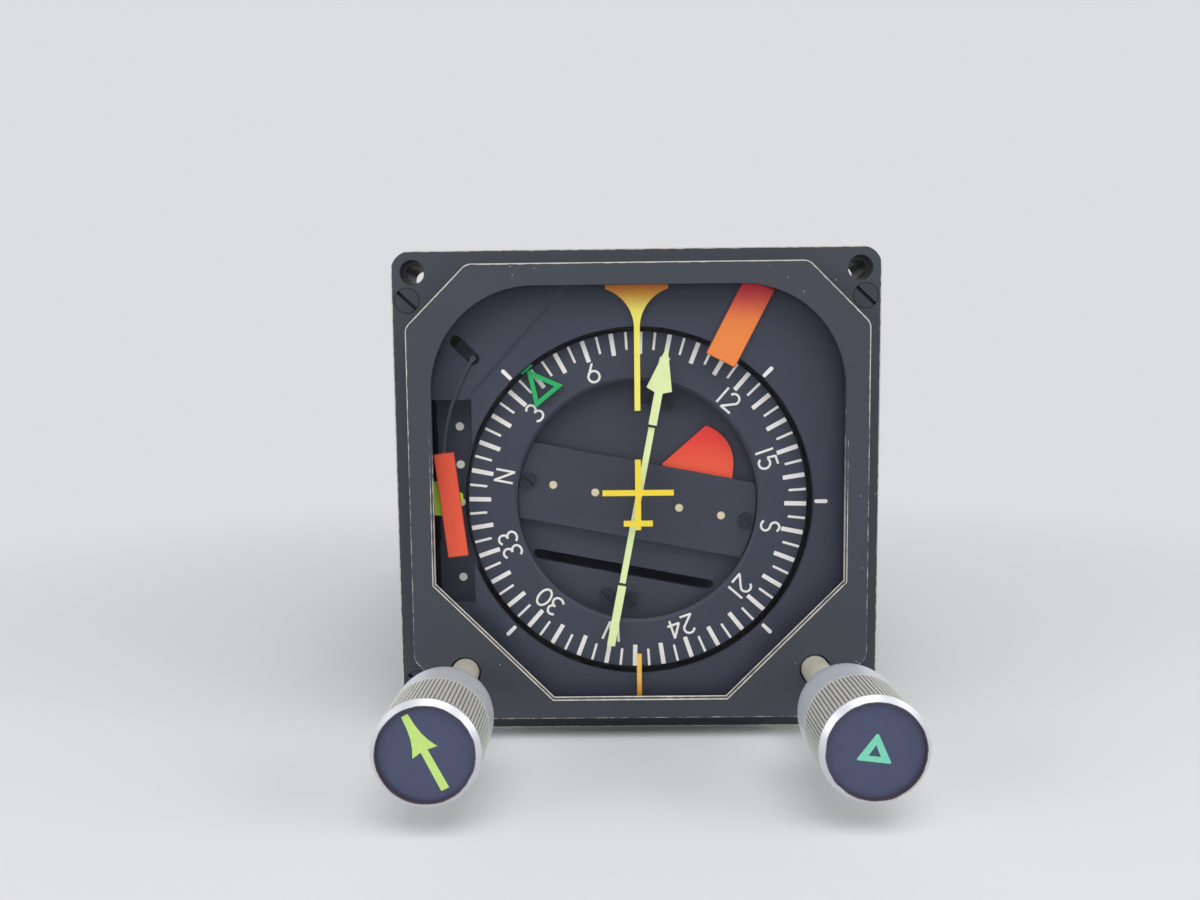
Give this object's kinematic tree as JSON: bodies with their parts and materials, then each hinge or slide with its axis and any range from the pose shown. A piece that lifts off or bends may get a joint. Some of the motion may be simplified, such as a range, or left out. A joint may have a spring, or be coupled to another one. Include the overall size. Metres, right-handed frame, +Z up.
{
  "type": "aircraft navigation indicator",
  "caption": "Panel indicator with a compass card, course arrow and deviation bar behind glass in a square flanged bezel, two knurled knobs below and a long case.",
  "frame": {"origin": "centre of the flange's front face, amid the four mounting holes", "axes": "+Y into the panel along the case, +Z up, +X to the right as seen from the front"},
  "size_m": [0.0858, 0.1953, 0.0858],
  "materials": {
    "black_paint": "matt",
    "plate_grey": "matt",
    "steel": "satin",
    "gasket_rubber": "matt",
    "clear_glass": "clear",
    "orange_paint": "matt",
    "yellow_paint": "matt",
    "red_paint": "matt",
    "green_paint": "matt",
    "lime_paint": "matt",
    "pale_green_paint": "matt",
    "aluminium": "satin",
    "brass": "satin",
    "bare_aluminium": "satin",
    "insert_paint": "satin",
    "black_plastic": "matt",
    "copper_winding": "satin",
    "case_paint": "satin"
  },
  "bodies": {
    "housing": {"bezel": "black_paint", "mount_inserts": "steel", "bezel_screws": "steel", "glass_gasket": "gasket_rubber", "front_glass": "clear_glass", "glass_clamps": "steel", "lubber_line": "orange_paint", "aircraft_symbol": "yellow_paint", "bottom_index": "orange_paint", "dial_mask": "plate_grey", "glideslope_scale": "plate_grey", "hdg_flag_solenoid": "copper_winding", "gs_flag_meter": "bare_aluminium", "glideslope_meter": "steel", "card_bearing": "brass", "differential_spindles": "steel", "servo_motor": "steel", "shaft_bushings": "brass", "front_plate": "bare_aluminium", "gear_plate": "bare_aluminium", "middle_plate": "bare_aluminium", "frame_posts": "bare_aluminium", "brush_block": "black_plastic", "course_resolver": "steel", "case_shell": "case_paint", "rear_cover": "case_paint", "cover_screws": "steel", "rear_connector": "bare_aluminium", "push_spring": "steel"},
    "card": {"compass_card": "plate_grey", "card_hub": "bare_aluminium"},
    "bug": {"heading_bug": "green_paint", "bug_ring": "bare_aluminium"},
    "rotor": {"rotor_plate": "plate_grey", "rotor_drum": "plate_grey", "rotor_shaft": "bare_aluminium", "course_arrow_head": "pale_green_paint", "course_arrow_tail": "pale_green_paint", "arrow_screws": "steel", "deviation_meter": "steel", "nav_flag_meter": "bare_aluminium"},
    "deviation": {"deviation_bar": "pale_green_paint"},
    "nav_vane": {"nav_flag": "red_paint"},
    "glideslope": {"glideslope_pointer": "lime_paint"},
    "hdg_vane": {"hdg_flag": "red_paint"},
    "gs_vane": {"gs_flag": "red_paint"},
    "course_input": {"course_input_gear": "brass"},
    "course_output": {"course_output_gear": "brass"},
    "course_drive": {"course_drive_gear": "brass"},
    "heading_input": {"heading_input_gear": "brass"},
    "heading_output": {"heading_output_gear": "brass"},
    "heading_drive": {"heading_drive_gear": "brass"},
    "servo": {"servo_pinion": "brass"},
    "course_control": {"course_knob": "aluminium", "course_knob_insert": "insert_paint", "course_shaft": "steel"},
    "heading_push_collar": {"push_collar": "brass"},
    "heading_control": {"heading_knob": "aluminium", "heading_knob_insert": "insert_paint", "heading_shaft": "steel"}
  },
  "joints": [
    {"name": "card_turn", "type": "hinge", "parent": "housing", "child": "card", "pos_m": [0, 0, -0.0015], "axis": [0, 1, 0], "continuous": true},
    {"name": "bug_set", "type": "hinge", "parent": "card", "child": "bug", "pos_m": [0, 0, -0.0015], "axis": [0, 1, 0], "continuous": true},
    {"name": "course_set", "type": "hinge", "parent": "card", "child": "rotor", "pos_m": [0, 0, -0.0015], "axis": [0, 1, 0], "continuous": true},
    {"name": "course_knob_turn", "type": "hinge", "parent": "housing", "child": "course_control", "pos_m": [-0.0304, 0, -0.03043], "axis": [0, 1, 0], "continuous": true},
    {"name": "heading_knob_push", "type": "slide", "parent": "housing", "child": "heading_push_collar", "axis": [0, 1, 0], "range_m": [0, 0.002], "stiffness_N_per_m": 400, "deforming": ["push_spring"]},
    {"name": "heading_knob_turn", "type": "hinge", "parent": "heading_push_collar", "child": "heading_control", "pos_m": [0.0304, 0, -0.03043], "axis": [0, 1, 0], "continuous": true},
    {"name": "course_input_turn", "type": "hinge", "parent": "housing", "child": "course_input", "pos_m": [-0.02297, 0, -0.02336], "axis": [0, 1, 0], "continuous": true},
    {"name": "course_output_turn", "type": "hinge", "parent": "course_input", "child": "course_output", "pos_m": [-0.02297, 0, -0.02336], "axis": [0, 1, 0], "continuous": true},
    {"name": "course_drive_turn", "type": "hinge", "parent": "housing", "child": "course_drive", "pos_m": [-0.02297, 0, -0.02336], "axis": [0, 1, 0], "continuous": true},
    {"name": "heading_input_turn", "type": "hinge", "parent": "housing", "child": "heading_input", "pos_m": [0.02297, 0, -0.02336], "axis": [0, 1, 0], "continuous": true},
    {"name": "heading_output_turn", "type": "hinge", "parent": "heading_input", "child": "heading_output", "pos_m": [0.02297, 0, -0.02336], "axis": [0, 1, 0], "continuous": true},
    {"name": "heading_drive_turn", "type": "hinge", "parent": "housing", "child": "heading_drive", "pos_m": [0.02297, 0, -0.02336], "axis": [0, 1, 0], "continuous": true},
    {"name": "servo_turn", "type": "hinge", "parent": "housing", "child": "servo", "pos_m": [0, 0, 0.03021], "axis": [0, 1, 0], "continuous": true},
    {"name": "deviation_swing", "type": "hinge", "parent": "rotor", "child": "deviation", "pos_m": [0, 0.05859, -0.0015], "axis": [0.1908, 0, 0.9816], "range_deg": [-13.5, 13.5]},
    {"name": "nav_flag_swing", "type": "hinge", "parent": "rotor", "child": "nav_vane", "pos_m": [0.01494, 0, -0.00848], "axis": [0, 1, 0], "range_deg": [-48, 0]},
    {"name": "glideslope_swing", "type": "hinge", "parent": "housing", "child": "glideslope", "pos_m": [-0.0362, 0.05859, -0.00045], "axis": [1, 0, 0], "range_deg": [-12.5, 12.5]},
    {"name": "hdg_flag_swing", "type": "hinge", "parent": "housing", "child": "hdg_vane", "pos_m": [0.0211, 0, 0.0362], "axis": [0, 1, 0], "range_deg": [-75, 0]},
    {"name": "gs_flag_swing", "type": "hinge", "parent": "housing", "child": "gs_vane", "pos_m": [-0.0284, 0, 0.024], "axis": [0, 1, 0], "range_deg": [0, 7]}
  ],
  "couplings": [
    {"joint": "course_input_turn", "follows": "card_turn", "ratio": -4.6667},
    {"joint": "heading_input_turn", "follows": "card_turn", "ratio": -4.6667},
    {"joint": "servo_turn", "follows": "card_turn", "ratio": -4.6667},
    {"joint": "course_output_turn", "follows": "course_knob_turn", "ratio": -0.83333},
    {"joint": "course_drive_turn", "follows": "course_knob_turn", "ratio": -0.83333},
    {"joint": "course_set", "follows": "course_knob_turn", "ratio": 0.17857},
    {"joint": "heading_output_turn", "follows": "heading_knob_turn", "ratio": -0.83333},
    {"joint": "heading_drive_turn", "follows": "heading_knob_turn", "ratio": -0.83333},
    {"joint": "bug_set", "follows": "heading_knob_turn", "ratio": 0.17857}
  ]
}
